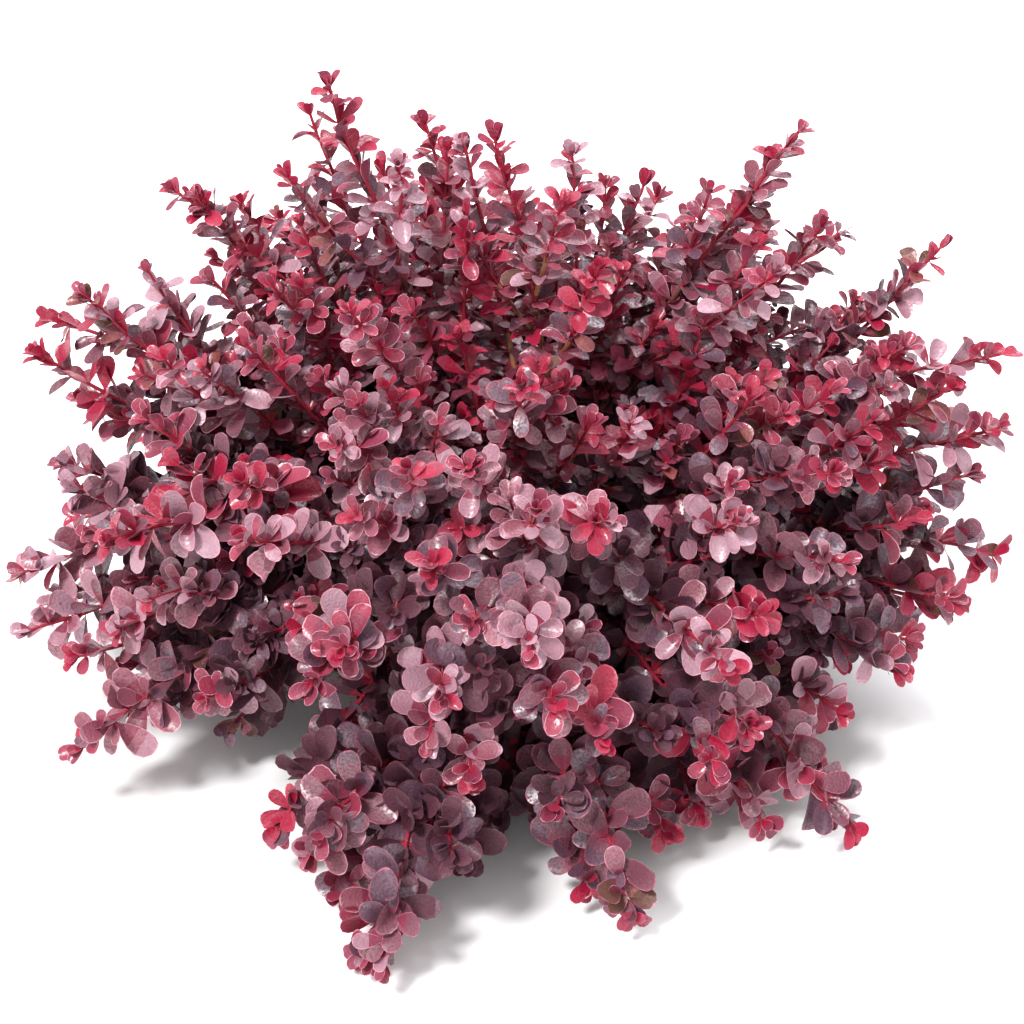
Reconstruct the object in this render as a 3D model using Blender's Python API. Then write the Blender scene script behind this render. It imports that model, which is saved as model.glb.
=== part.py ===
"""A dwarf Japanese barberry, rooted in the ground, as separate solids in metres, +Z up.

A woody stool stands on the ground. One arching bough runs from it to each spray of foliage.
A spray is one solid: a leading shoot and side shoots, with broad leaves sunk into them.
The origin is the middle of the flat cut under the stool, at ground level, and +Y is the back.
"""

import math
import random

import bmesh
import bpy
from mathutils import Matrix, Vector
from mathutils.bvhtree import BVHTree

UP = Vector((0.0, 0.0, 1.0))

# The stool: a low root crown, cut flat at ground level, with root lobes round its foot
FLARE_RADIUS = 0.034
FLARE_SHOULDER_RADIUS = 0.029
FLARE_SHOULDER_HEIGHT = 0.007
WAIST_RADIUS = 0.023
WAIST_HEIGHT = 0.019
HEAD_RADIUS = 0.030
HEAD_HEIGHT = 0.050
HEAD_LATITUDES = (-38, -12, 14, 40, 66)
STOOL_SIDES = 18
ROOT_LOBES = 5
ROOT_LOBE_DEPTH = 0.12
STOOL_CREASE = 50

# Leading shoots: azimuth and rise of each tip as seen from the foot, in degrees, and its reach.
# Azimuth 0 is the right (+X), 90 the back, 180 the left and 270 the front.
# start_rise is how steeply a ring's boughs leave the stool, and foot_radius how thick they are there.
RINGS = {
    "skirt": {
        "start_rise": 30,
        "foot_radius": 0.0032,
        "leaders": [
            (355, 17, 0.345), (35, 9, 0.325), (72, 7, 0.330), (108, 9, 0.325), (146, 11, 0.330),
            (184, 14, 0.338), (213, 9, 0.323), (258, 4, 0.345), (284, 4, 0.305), (315, 4, 0.305),
            (334, 15, 0.290),
        ],
    },
    "flank": {
        "start_rise": 49,
        "foot_radius": 0.0032,
        "leaders": [
            (359, 37, 0.400), (34, 41, 0.375), (80, 36, 0.355), (126, 38, 0.360), (177, 41, 0.388),
            (210, 34, 0.335), (245, 30, 0.312), (273, 36, 0.350), (301, 30, 0.295), (332, 43, 0.315),
        ],
    },
    "shoulder": {
        "start_rise": 66,
        "foot_radius": 0.0028,
        "leaders": [
            (12, 63, 0.418), (48, 66, 0.340), (104, 60, 0.350), (163, 55, 0.392), (232, 56, 0.300),
            (275, 66, 0.315),
        ],
    },
    "crest": {
        "start_rise": 76,
        "foot_radius": 0.0028,
        "leaders": [(170, 75, 0.428), (350, 91, 0.388)],
    },
}

# Boughs, from the stool to where the foliage begins
FOLIAGE_FROM = 0.30
ARCH_PULL = 0.42
BOUGH_TIP_RADIUS = 0.0022
BOUGH_POINTS = 5
BOUGH_CREASE = 70
CLEARANCE = 0.0003
SEATING_STEPS = 4

# Shoots of a spray: the leader, and side shoots that fork from it and turn back outwards
SHOOT_RADIUS = 0.0019
SIDE_RADIUS = 0.0015
SHOOT_TIP_RADIUS = 0.0007
LEADER_POINTS = 4
SIDE_POINTS = 3
SIDE_SHOOTS = 4
SIDE_FIRST = 0.04
SIDE_STEP = 0.15
SIDE_SPREAD = 46
SIDE_SPREAD_STEP = -5
SIDE_SPREAD_VARY = 6
SIDE_ROLL_VARY = 15
SIDE_LENGTH = 0.68
SIDE_LENGTH_VARY = 0.10
TURN_BACK = 0.45
GOLDEN_ANGLE = 137.5
HEADING_STEP = 0.02
SEED = 41

# Leaves: broad spoons, larger than life, each standing for a rosette of real leaves
LEAF_LENGTH = 0.062
LEAF_LENGTH_VARY = 0.08
LEAF_WIDTH = 0.042
LEAF_THICKNESS = 0.0022
LEAF_WIDEST_AT = 0.58
LEAF_END_WIDTH = 0.5
LEAF_TIP_SCALE = 0.58
LEAF_OPENING = 68
LEAF_TIP_OPENING = 24
LEAF_TWIST = 24
FACE_AHEAD = 0.5
FACE_UP = 0.9
LEADER_LEAVES = 8
SIDE_LEAVES = 4
TIP_LEAF_REACH = 0.030
FIRST_LEAF = 0.12
LAST_LEAF = 0.99
TRIES_PER_LEAF = 9
SHRINK_PER_TRY = 0.04

# A spray keeps to its own space: nearer to its own leader than to any other, by this margin
SPACE_MARGIN = 0.0006
SPACE_FROM = 0.24
SPACE_SPOTS = 15
LOWEST_LEAF = 0.0015


def clear_scene():
    for item in list(bpy.data.objects):
        bpy.data.objects.remove(item, do_unlink=True)


def material(name, colour, roughness):
    """A plain finish with the piece's own colour."""
    made = bpy.data.materials.new(name)
    made.use_nodes = True
    shader = made.node_tree.nodes["Principled BSDF"]
    shader.inputs["Base Color"].default_value = (*colour, 1.0)
    shader.inputs["Roughness"].default_value = roughness
    shader.inputs["Metallic"].default_value = 0.0
    return made


def place(name, mesh, finish):
    """Puts a mesh in the scene as one named piece."""
    mesh.materials.clear()
    mesh.materials.append(finish)
    item = bpy.data.objects.new(name, mesh)
    bpy.context.scene.collection.objects.link(item)
    return item


def surface_of(mesh, matrix=None):
    """The mesh as a tree that can tell what it crosses and how far it is from a point."""
    points = [matrix @ point.co if matrix else point.co.copy() for point in mesh.vertices]
    return BVHTree.FromPolygons(points, [face.vertices[:] for face in mesh.polygons])


def direction(azimuth, rise):
    """Unit vector towards a compass angle and a rise above the ground, in degrees."""
    a = math.radians(azimuth)
    r = math.radians(rise)
    return Vector((math.cos(r) * math.cos(a), math.cos(r) * math.sin(a), math.sin(r)))


def outward(heading, roll):
    """A unit vector square to heading, turned round it by roll degrees from straight up."""
    level = heading.cross(UP)
    if level.length < 0.05:
        level = Vector((1.0, 0.0, 0.0))
    square = level.normalized().cross(heading).normalized()
    return Matrix.Rotation(math.radians(roll), 3, heading) @ square


def bend(start, pull, end, share):
    """A point on the smooth arc that leaves start towards pull and arrives at end."""
    keep = 1.0 - share
    return start * keep * keep + pull * 2.0 * keep * share + end * share * share


def arc_points(arc, first, last, count):
    """Points spaced evenly in share along part of an arc."""
    step = (last - first) / (count - 1)
    return [bend(*arc, first + step * i) for i in range(count)]


def make_stool(finish):
    """The root crown: a turned knob on a flared foot, with low root lobes round the foot."""
    profile = [
        (0.0, 0.0),
        (FLARE_RADIUS, 0.0),
        (FLARE_SHOULDER_RADIUS, FLARE_SHOULDER_HEIGHT),
        (WAIST_RADIUS, WAIST_HEIGHT),
    ]
    for latitude in HEAD_LATITUDES:
        angle = math.radians(latitude)
        height = HEAD_HEIGHT + HEAD_RADIUS * math.sin(angle)
        profile.append((HEAD_RADIUS * math.cos(angle), height))
    profile.append((0.0, HEAD_HEIGHT + HEAD_RADIUS))
    shape = bmesh.new()
    points = [shape.verts.new((radius, 0.0, height)) for radius, height in profile]
    edges = [shape.edges.new(pair) for pair in zip(points, points[1:])]
    bmesh.ops.spin(shape, geom=points + edges, cent=(0, 0, 0), axis=(0, 0, 1),
                   angle=math.tau, steps=STOOL_SIDES, use_merge=True)
    bmesh.ops.remove_doubles(shape, verts=shape.verts, dist=0.00005)
    for point in shape.verts:
        fade = max(0.0, 1.0 - point.co.z / WAIST_HEIGHT)
        lobe = math.cos(ROOT_LOBES * math.atan2(point.co.y, point.co.x))
        swell = 1.0 + ROOT_LOBE_DEPTH * fade * lobe
        point.co.x *= swell
        point.co.y *= swell
    bmesh.ops.recalc_face_normals(shape, faces=shape.faces)
    mesh = bpy.data.meshes.new("stool")
    shape.to_mesh(mesh)
    shape.free()
    mesh.shade_smooth()
    mesh.set_sharp_from_angle(angle=math.radians(STOOL_CREASE))
    return place("stool", mesh, finish)


def seated_foot(stool, leaving, reach, tip, radius):
    """The middle of a bough's flat foot, slid along its heading until it is just clear of the stool."""
    first_step = FOLIAGE_FROM / (BOUGH_POINTS - 1)
    foot = UP * HEAD_HEIGHT + leaving * (HEAD_RADIUS + radius)
    for _ in range(SEATING_STEPS):
        ahead = bend(foot, foot + leaving * reach * ARCH_PULL, tip, first_step)
        heading = (ahead - foot).normalized()
        rim = [foot + outward(heading, turn) * radius for turn in range(0, 360, 30)]
        gap = min(stool.find_nearest(point)[3] for point in rim + [foot])
        foot = foot - leaving * (gap - CLEARANCE)
    return foot


def leaders_on(stool):
    """Every leading shoot's whole arc, from the stool to its tip, with the name of its place."""
    leaders = []
    for ring, facts in RINGS.items():
        for number, (azimuth, rise, reach) in enumerate(facts["leaders"], start=1):
            leaving = direction(azimuth, facts["start_rise"])
            tip = direction(azimuth, rise) * (reach - TIP_LEAF_REACH)
            foot = seated_foot(stool, leaving, reach, tip, facts["foot_radius"])
            leaders.append({
                "place": f"{ring}_{number:02d}",
                "arc": (foot, foot + leaving * reach * ARCH_PULL, tip),
                "foot_radius": facts["foot_radius"],
            })
    return leaders


def tube_mesh(name, points, radii, outline=None):
    """A tapering closed tube along points, six-sided or with the given outline, as a mesh."""
    path = bpy.data.curves.new(name, "CURVE")
    path.dimensions = "3D"
    path.use_fill_caps = True
    path.bevel_resolution = 1
    path.bevel_depth = 1.0
    if outline:
        path.bevel_mode = "OBJECT"
        path.bevel_object = outline
    spline = path.splines.new("POLY")
    spline.points.add(len(points) - 1)
    for knot, point, radius in zip(spline.points, points, radii):
        knot.co = (*point, 1.0)
        knot.radius = radius
    item = bpy.data.objects.new(name, path)
    bpy.context.scene.collection.objects.link(item)
    graph = bpy.context.evaluated_depsgraph_get()
    mesh = bpy.data.meshes.new_from_object(item.evaluated_get(graph))
    mesh.name = name
    bpy.data.objects.remove(item, do_unlink=True)
    shape = bmesh.new()
    shape.from_mesh(mesh)
    bmesh.ops.remove_doubles(shape, verts=shape.verts, dist=0.00001)
    bmesh.ops.recalc_face_normals(shape, faces=shape.faces)
    shape.to_mesh(mesh)
    shape.free()
    return mesh


def tapered(thick, thin, count):
    """Radii that shrink evenly from thick to thin."""
    return [thick + (thin - thick) * i / (count - 1) for i in range(count)]


def make_bough(leader, finish):
    """One tapering limb, from its flat foot on the stool to its flat tip inside the foliage."""
    name = "bough_" + leader["place"]
    points = arc_points(leader["arc"], 0.0, FOLIAGE_FROM, BOUGH_POINTS)
    radii = tapered(leader["foot_radius"], BOUGH_TIP_RADIUS, BOUGH_POINTS)
    mesh = tube_mesh(name, points, radii)
    mesh.shade_smooth()
    mesh.set_sharp_from_angle(angle=math.radians(BOUGH_CREASE))
    return place(name, mesh, finish)


def three_sided_outline():
    """The outline that twigs are drawn with. It is a guide and isn't shown."""
    path = bpy.data.curves.new("three_sides", "CURVE")
    path.dimensions = "2D"
    spline = path.splines.new("POLY")
    spline.points.add(2)
    for i, knot in enumerate(spline.points):
        angle = math.tau * i / 3
        knot.co = (math.cos(angle), math.sin(angle), 0.0, 1.0)
    spline.use_cyclic_u = True
    guide = bpy.data.objects.new("three_sides", path)
    guide.hide_render = True
    guide.display_type = "WIRE"
    bpy.context.scene.collection.objects.link(guide)
    return guide


def leaf_form():
    """One leaf along +X from its root, one unit long: a five-sided spoon, flat above, keeled below."""
    half = LEAF_WIDTH / LEAF_LENGTH / 2
    end = half * LEAF_END_WIDTH
    outline = [(0, 0), (LEAF_WIDEST_AT, half), (0.97, end), (0.97, -end), (LEAF_WIDEST_AT, -half)]
    shape = bmesh.new()
    bmesh.ops.create_cone(shape, cap_ends=True, segments=5, radius1=1.0, radius2=0.0, depth=1.0)
    rim = [point for point in shape.verts if point.co.z < 0]
    keel = next(point for point in shape.verts if point.co.z > 0)
    rim.sort(key=lambda point: math.atan2(point.co.y, point.co.x))
    for point, (along, across) in zip(rim, outline):
        point.co = (along, across, 0.0)
    keel.co = (LEAF_WIDEST_AT, 0.0, -LEAF_THICKNESS / LEAF_LENGTH)
    bmesh.ops.recalc_face_normals(shape, faces=shape.faces)
    bmesh.ops.triangulate(shape, faces=shape.faces)
    mesh = bpy.data.meshes.new("leaf_form")
    shape.to_mesh(mesh)
    shape.free()
    return mesh


def shoots_of(arc, chance):
    """The spray's shoots as arcs: the leader's leafy part, then the side shoots that fork from it."""
    fork = bend(*arc, FOLIAGE_FROM)
    middle = bend(*arc, (1.0 + FOLIAGE_FROM) / 2)
    tip = arc[2]
    pull = middle * 2.0 - (fork + tip) / 2.0
    bough_end = (fork - bend(*arc, FOLIAGE_FROM * (1.0 - 1.0 / (BOUGH_POINTS - 1)))).normalized()
    leader_start = (bend(fork, pull, tip, 1.0 / (LEADER_POINTS - 1)) - fork).normalized()
    gap = CLEARANCE + SHOOT_RADIUS * math.sin(bough_end.angle(leader_start))
    leader = (fork + bough_end * gap, pull, tip)
    length = (tip - fork).length
    shoots = [leader]
    roll = chance.uniform(0, 360)
    for number in range(SIDE_SHOOTS):
        share = SIDE_FIRST + SIDE_STEP * number
        origin = bend(*leader, share)
        heading = (bend(*leader, share + HEADING_STEP) - origin).normalized()
        spread = SIDE_SPREAD + SIDE_SPREAD_STEP * number + chance.uniform(-1, 1) * SIDE_SPREAD_VARY
        spread = math.radians(spread)
        lean = heading * math.cos(spread) + outward(heading, roll) * math.sin(spread)
        reach = length * (1.0 - share) * (SIDE_LENGTH + chance.uniform(-1, 1) * SIDE_LENGTH_VARY)
        final = (lean * (1.0 - TURN_BACK) + origin.normalized() * TURN_BACK).normalized()
        half = reach / 2
        shoots.append((origin, origin + lean * half, origin + (lean + final) * half))
        roll += GOLDEN_ANGLE + chance.uniform(-SIDE_ROLL_VARY, SIDE_ROLL_VARY)
    return shoots


def in_own_space(points, number, leader_lines):
    """True if every point lies nearer to this spray's leader than to any other, by the margin."""
    for point in points:
        gaps = [min((point - spot).length for spot in line) for line in leader_lines]
        own = gaps.pop(number)
        if own + SPACE_MARGIN > min(gaps):
            return False
    return True


def trimmed(points, number, leader_lines):
    """The run of a shoot's points that keeps to the spray's space and above the ground."""
    kept = []
    for point in points:
        too_low = point.z < LOWEST_LEAF + SHOOT_RADIUS
        if too_low or not in_own_space([point], number, leader_lines):
            break
        kept.append(point)
    return kept


def along_line(points, share):
    """The point and the heading at a share of a jointed line's length."""
    lengths = [(b - a).length for a, b in zip(points, points[1:])]
    left = share * sum(lengths)
    for a, b, length in zip(points, points[1:], lengths):
        if left <= length or b is points[-1]:
            return a + (b - a) * (left / length), (b - a).normalized()
        left -= length


def leaf_spots(points, count, chance):
    """Where leaves sit on a twig, out to its tip: root, heading, share, roll, twist and length."""
    roll = chance.uniform(0, 360)
    spots = []
    for i in range(count):
        share = FIRST_LEAF + (LAST_LEAF - FIRST_LEAF) * i / (count - 1)
        root, heading = along_line(points, share)
        shrunk = 1.0 - (1.0 - LEAF_TIP_SCALE) * share
        length = LEAF_LENGTH * shrunk * (1.0 + chance.uniform(-1, 1) * LEAF_LENGTH_VARY)
        twist = chance.uniform(-LEAF_TWIST, LEAF_TWIST)
        spots.append((root, heading, share, roll, twist, length))
        roll += GOLDEN_ANGLE
    return spots


def leaf_matrix(root, heading, share, roll, twist, length):
    """Sets a leaf on a twig: opened away from it, with its upper side to the tip and the sky."""
    opening = math.radians(LEAF_OPENING + (LEAF_TIP_OPENING - LEAF_OPENING) * share * share)
    side = outward(heading, roll)
    along = (heading * math.cos(opening) + side * math.sin(opening)).normalized()
    facing = heading * FACE_AHEAD + UP * FACE_UP
    facing = Matrix.Rotation(math.radians(twist), 3, along) @ facing
    normal = facing - along * facing.dot(along)
    if normal.length < 0.05:
        normal = side
    normal.normalize()
    turn = Matrix((along, normal.cross(along), normal)).transposed().to_4x4()
    return Matrix.Translation(root) @ turn @ Matrix.Scale(length, 4)


def placed_leaf(spot, number, leader_lines, leaf, limbs, leaves):
    """A leaf's matrix and surface, rolled on and shrunk until it is clear of everything, or None."""
    root, heading, share, roll, twist, length = spot
    for attempt in range(TRIES_PER_LEAF):
        turned = roll + attempt * 360 / TRIES_PER_LEAF
        smaller = length * (1.0 - SHRINK_PER_TRY * attempt)
        matrix = leaf_matrix(root, heading, share, turned, twist, smaller)
        corners = [matrix @ point.co for point in leaf.vertices]
        if min(corner.z for corner in corners) < LOWEST_LEAF:
            continue
        if not in_own_space(corners, number, leader_lines):
            continue
        surface = surface_of(leaf, matrix)
        if not any(surface.overlap(other) for other in [limbs] + leaves):
            return matrix, surface
    return None


def widest_island(shape):
    """The points of the joined skin that spans most. Scraps and walls of sealed hollows span less."""
    left = set(shape.verts)
    islands = []
    while left:
        island = set()
        queue = [left.pop()]
        while queue:
            point = queue.pop()
            island.add(point)
            for edge in point.link_edges:
                other = edge.other_vert(point)
                if other in left:
                    left.remove(other)
                    queue.append(other)
        islands.append(island)
    return max(islands, key=lambda island: sum(
        max(point.co[axis] for point in island) - min(point.co[axis] for point in island)
        for axis in range(3)))


def fuse(name, parts, finish):
    """Joins the meshes into one closed solid with one Boolean union, and keeps its outer skin."""
    group = bpy.data.collections.new("to_fuse")
    bpy.context.scene.collection.children.link(group)
    fused = place(name, parts[0], finish)
    for number, mesh in enumerate(parts[1:]):
        group.objects.link(bpy.data.objects.new(f"fused_{number}", mesh))
    union = fused.modifiers.new("join", "BOOLEAN")
    union.operation = "UNION"
    union.operand_type = "COLLECTION"
    union.collection = group
    union.solver = "EXACT"
    graph = bpy.context.evaluated_depsgraph_get()
    joined = bpy.data.meshes.new_from_object(fused.evaluated_get(graph))
    joined.name = name
    fused.modifiers.clear()
    fused.data = joined
    for item in list(group.objects):
        bpy.data.objects.remove(item, do_unlink=True)
    bpy.data.collections.remove(group)
    shape = bmesh.new()
    shape.from_mesh(joined)
    skin = widest_island(shape)
    bmesh.ops.delete(shape, geom=[p for p in shape.verts if p not in skin], context="VERTS")
    bmesh.ops.triangulate(shape, faces=shape.faces)
    shape.to_mesh(joined)
    shape.free()
    return fused


def make_spray(number, leader, leader_lines, limbs, outline, leaf, finish):
    """One mass of foliage: twigs from one stem, with leaves, all kept to the spray's own space."""
    chance = random.Random(SEED + number)
    parts = []
    leaves = []
    for order, shoot in enumerate(shoots_of(leader["arc"], chance)):
        leading = order == 0
        count = LEADER_POINTS if leading else SIDE_POINTS
        points = trimmed(arc_points(shoot, 0.0, 1.0, count), number, leader_lines)
        if len(points) < 2:
            continue
        radii = tapered(SHOOT_RADIUS if leading else SIDE_RADIUS, SHOOT_TIP_RADIUS, len(points))
        twig = tube_mesh("twig", points, radii, outline)
        if surface_of(twig).overlap(limbs):
            continue
        parts.append(twig)
        for spot in leaf_spots(points, LEADER_LEAVES if leading else SIDE_LEAVES, chance):
            placed = placed_leaf(spot, number, leader_lines, leaf, limbs, leaves)
            if placed:
                blade = leaf.copy()
                blade.transform(placed[0])
                parts.append(blade)
                leaves.append(placed[1])
    spray = fuse("spray_" + leader["place"], parts, finish)
    print(f"{spray.name}: {len(leaves)} leaves, {len(spray.data.polygons)} triangles")
    return spray


def main():
    clear_scene()
    bark = material("barberry_bark", (0.20, 0.13, 0.10), 0.85)
    cane = material("barberry_cane", (0.26, 0.10, 0.09), 0.75)
    foliage = material("barberry_leaf", (0.25, 0.08, 0.12), 0.50)
    stool = make_stool(bark)
    leaders = leaders_on(surface_of(stool.data))
    walls = bmesh.new()
    walls.from_mesh(stool.data)
    for leader in leaders:
        walls.from_mesh(make_bough(leader, cane).data)
    limbs = BVHTree.FromBMesh(walls)
    walls.free()
    leader_lines = [
        arc_points(leader["arc"], SPACE_FROM, 1.0, SPACE_SPOTS) for leader in leaders
    ]
    outline = three_sided_outline()
    leaf = leaf_form()
    for number, leader in enumerate(leaders):
        make_spray(number, leader, leader_lines, limbs, outline, leaf, foliage)


main()
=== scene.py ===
# %% [markdown]
# # A dwarf Japanese barberry
# This shrub is a low mound of arching, spiky shoots that all spring from one woody stool. Small
# spoon-shaped leaves sit in rosettes along every shoot: crimson and rose at the tips, dusky mauve
# lower down, and nearly black inside, where shade is painted into their colours as well. The
# imported solids give the stool, the limbs and each spray's reach. Here they are dressed: the same
# growth rule is written again and carried on to fine twigs.

# %% Load the imported solids
import math
import random

import bmesh
import bpy
import numpy as np
from mathutils import Matrix, Vector, noise


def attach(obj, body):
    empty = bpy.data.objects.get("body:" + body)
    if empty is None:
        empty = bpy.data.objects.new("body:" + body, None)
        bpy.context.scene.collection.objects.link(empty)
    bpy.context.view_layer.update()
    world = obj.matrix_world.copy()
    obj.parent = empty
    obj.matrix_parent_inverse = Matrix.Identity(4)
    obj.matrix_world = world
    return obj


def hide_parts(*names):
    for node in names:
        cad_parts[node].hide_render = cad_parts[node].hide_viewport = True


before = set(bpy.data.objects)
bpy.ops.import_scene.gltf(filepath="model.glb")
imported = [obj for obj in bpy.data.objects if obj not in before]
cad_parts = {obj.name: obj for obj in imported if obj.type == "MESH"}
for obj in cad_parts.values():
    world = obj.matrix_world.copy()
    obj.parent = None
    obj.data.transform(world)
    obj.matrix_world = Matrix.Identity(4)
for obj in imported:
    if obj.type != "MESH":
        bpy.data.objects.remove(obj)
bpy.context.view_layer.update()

# %% [markdown]
# ## Camera
# The photo looks down on the shrub at about 33 degrees from far off, so its near and far leaves
# are almost the same size. A long lens from 1.6 m gives the same view. The camera comes first,
# because every later choice is judged through it.

# %% Camera
CAMERA_DOWN = 33
CAMERA_PLACE = (0.0045, -1.309, 0.962)
CAMERA_LENS = 83.2


def make_camera():
    eye = bpy.data.objects.new("camera", bpy.data.cameras.new("camera"))
    bpy.context.scene.collection.objects.link(eye)
    eye.location = CAMERA_PLACE
    eye.rotation_euler = (math.radians(90 - CAMERA_DOWN), 0, 0)
    eye.data.lens = CAMERA_LENS
    eye.data.sensor_width = 36
    bpy.context.scene.camera = eye


make_camera()
print("camera looks down", CAMERA_DOWN, "degrees")

# %% [markdown]
# ## How the shrub grows
# Each leading shoot leaves the stool steeply and arches over to its tip. Three facts place it: the
# azimuth and rise of the tip as seen from the foot, and its reach. A smooth arc through a start,
# a pull point and an end is enough for such a shoot, and every point on it is quick to work out.
# The word after them is the shoot's mood, which later deals out its leaf colours.

# %% The four rings of leading shoots
RINGS = {
    "skirt": (30, [
        (355, 17, 0.345, "fiery"), (35, 9, 0.325, "dusky"), (72, 7, 0.330, "rosy"),
        (108, 9, 0.325, "pale"), (146, 11, 0.330, "dusky"), (184, 14, 0.338, "pale"),
        (213, 9, 0.323, "rosy"), (258, 4, 0.345, "dusky"), (284, 4, 0.305, "dusky"),
        (315, 4, 0.305, "rosy"), (334, 15, 0.290, "dusky")]),
    "flank": (49, [
        (359, 37, 0.400, "rosy"), (34, 41, 0.375, "dusky"), (80, 36, 0.355, "rosy"),
        (126, 38, 0.360, "fiery"), (177, 41, 0.388, "fiery"), (210, 34, 0.335, "fiery"),
        (245, 30, 0.312, "rosy"), (273, 36, 0.350, "pale"), (301, 30, 0.295, "rosy"),
        (332, 43, 0.315, "dusky")]),
    "shoulder": (66, [
        (12, 63, 0.418, "rosy"), (48, 66, 0.340, "rosy"), (104, 60, 0.350, "fiery"),
        (163, 55, 0.392, "fiery"), (232, 56, 0.300, "pale"), (275, 66, 0.315, "dusky")]),
    "crest": (76, [(170, 75, 0.428, "rosy"), (350, 91, 0.388, "fiery")]),
}
print({ring: len(tips) for ring, (_, tips) in RINGS.items()}, "tips")

# %% Directions and arcs
AHEAD = 0.02
NEARLY_UPRIGHT = 0.05
UP = Vector((0, 0, 1))


def direction(azimuth, rise):
    """A unit vector from two angles in degrees: round from the right, and up from level."""
    a = math.radians(azimuth)
    r = math.radians(rise)
    return Vector((math.cos(r) * math.cos(a), math.cos(r) * math.sin(a), math.sin(r)))


def bend(start, pull, end, share):
    """The point at a share of the way along the smooth arc through start, pull and end."""
    keep = 1 - share
    return start * keep * keep + pull * 2 * keep * share + end * share * share


def heading_at(arc, share):
    """The unit vector in which an arc runs at a share of its way."""
    return (bend(*arc, share + AHEAD) - bend(*arc, share)).normalized()


def outward(heading, roll):
    """A unit vector square to heading, turned round it by roll degrees from straight up."""
    level = heading.cross(UP)
    if level.length < NEARLY_UPRIGHT:
        level = Vector((1, 0, 0))
    square = level.normalized().cross(heading).normalized()
    return Matrix.Rotation(math.radians(roll), 3, heading) @ square


print("due right and 30 degrees up is", [round(part, 2) for part in direction(0, 30)])

# %% The leading shoots
HEAD_RADIUS = 0.030
HEAD_HEIGHT = 0.050
ARCH_PULL = 0.42
TIP_ROSETTE = 0.010

leaders = []
for ring, (start_rise, tips) in RINGS.items():
    for number, (azimuth, rise, reach, mood) in enumerate(tips, start=1):
        leaving = direction(azimuth, start_rise)
        foot = UP * HEAD_HEIGHT + leaving * HEAD_RADIUS
        tip = direction(azimuth, rise) * (reach - TIP_ROSETTE)
        arc = (foot, foot + leaving * reach * ARCH_PULL, tip)
        leaders.append({"ring": ring, "place": f"{ring}_{number:02d}", "arc": arc, "mood": mood})
print(len(leaders), "leading shoots")

# %% [markdown]
# ## Laterals
# Between the leading shoots stand others nearly as long, which fork from a leader low down. Their
# tips are what gives the outline its many spikes. Each is given like a leader, by its tip, and
# forks from the leader whose tip lies nearest. High ones set off flat and turn up towards the
# light, so that they stand clear of each other as spires.

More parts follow.
